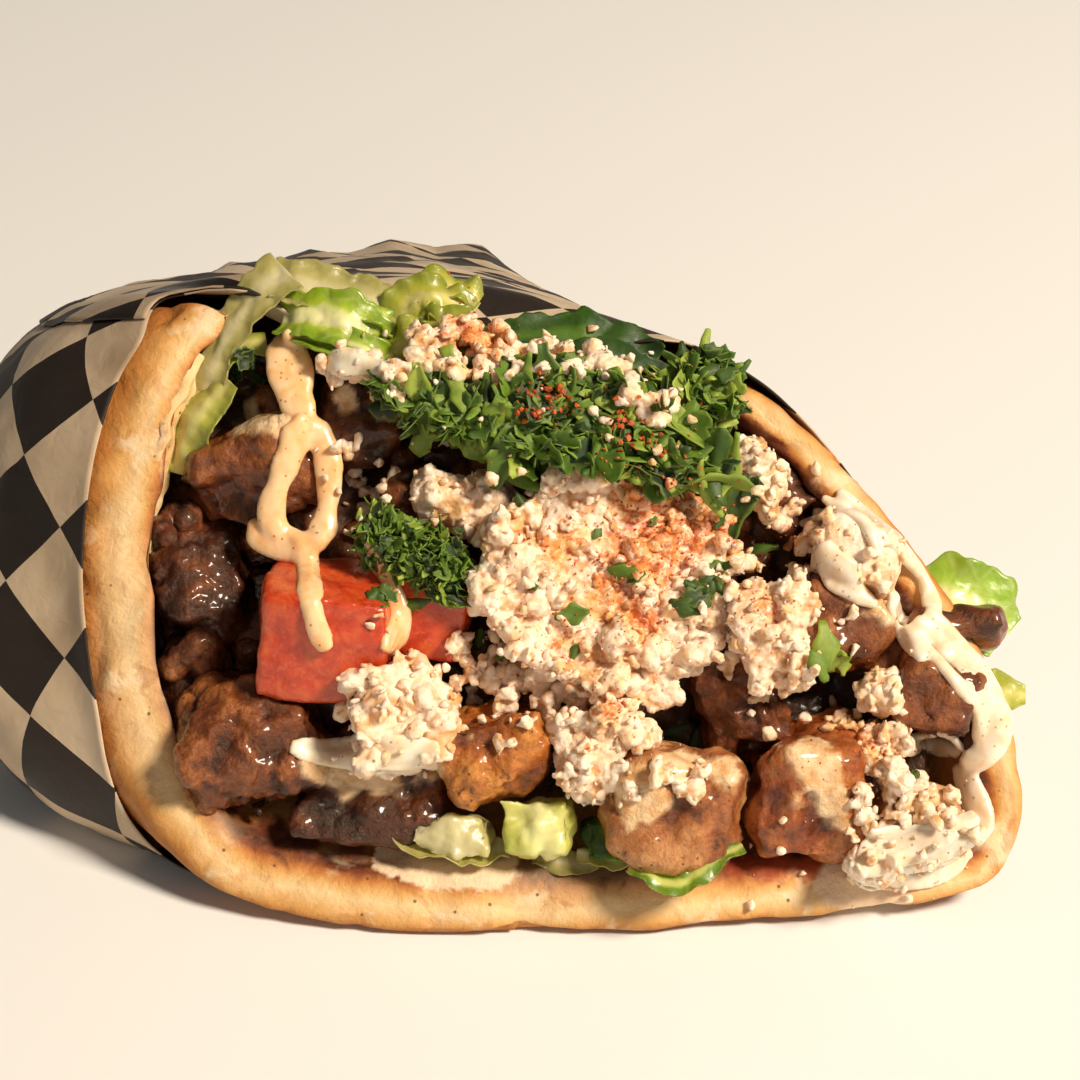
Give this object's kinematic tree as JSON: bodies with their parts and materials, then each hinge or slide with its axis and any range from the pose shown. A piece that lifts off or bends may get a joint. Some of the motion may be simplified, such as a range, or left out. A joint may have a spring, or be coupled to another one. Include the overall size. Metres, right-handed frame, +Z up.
{
  "type": "gyro wrap",
  "caption": "Pita folded round grilled meat, feta, tomato, lettuce and chopped parsley, in a sleeve of check paper, lying on its side.",
  "frame": {"origin": "centre of the bounding box's footprint, on the surface the wrap lies on", "axes": "+Z up; the mouth with its filling faces -Y and leans back; the wrapped, tucked end points to +Y; +X is to the right of the mouth"},
  "size_m": [0.1631, 0.1813, 0.0764],
  "materials": {
    "pita_bread": "soft baked crust, browned in patches",
    "check_paper": "thin greaseproof paper with a dark brown and cream check",
    "packed_filling": "moist and uneven",
    "grilled_meat": "browned, moist with juice and sauce",
    "tomato": "wet cut flesh",
    "lettuce": "waxy leaf",
    "feta": "crumbly and moist",
    "parsley": "chopped leaf"
  },
  "bodies": {
    "root": {"pita": "pita_bread", "paper_wrap": "check_paper", "filling": "packed_filling", "meat_top_left": "grilled_meat", "meat_under_sauce": "grilled_meat", "meat_charred": "grilled_meat", "meat_deep_left": "grilled_meat", "meat_behind_tomato": "grilled_meat", "meat_front_left": "grilled_meat", "meat_low_shaded": "grilled_meat", "meat_golden": "grilled_meat", "meat_creamed": "grilled_meat", "meat_inner": "grilled_meat", "meat_glazed": "grilled_meat", "meat_right_high": "grilled_meat", "meat_right_edge": "grilled_meat", "meat_strip": "grilled_meat", "meat_far_rim": "grilled_meat", "meat_right_low": "grilled_meat", "meat_sliver": "grilled_meat", "meat_centre": "grilled_meat", "tomato_front": "tomato", "tomato_rear": "tomato", "lettuce_block": "lettuce", "lettuce_chunk_low": "lettuce", "lettuce_pale_low": "lettuce", "lettuce_dark_low": "lettuce", "lettuce_rib": "lettuce", "lettuce_ruffle": "lettuce", "lettuce_left": "lettuce", "lettuce_rim": "lettuce", "lettuce_right": "lettuce", "lettuce_tip": "lettuce", "dark_leaf_back": "lettuce", "feta_front": "feta", "feta_mid_low": "feta", "feta_right_slab": "feta", "feta_creamy_right": "feta", "feta_right_nub": "feta", "feta_right_low": "feta", "feta_on_rim": "feta", "feta_top_left": "feta", "feta_left_mid": "feta", "feta_white_top": "feta", "feta_far": "feta", "feta_orange_top": "feta", "feta_back_bits": "feta", "feta_heap": "feta", "parsley_heap": "parsley", "parsley_clump": "parsley", "parsley_back": "parsley"}
  },
  "joints": []
}
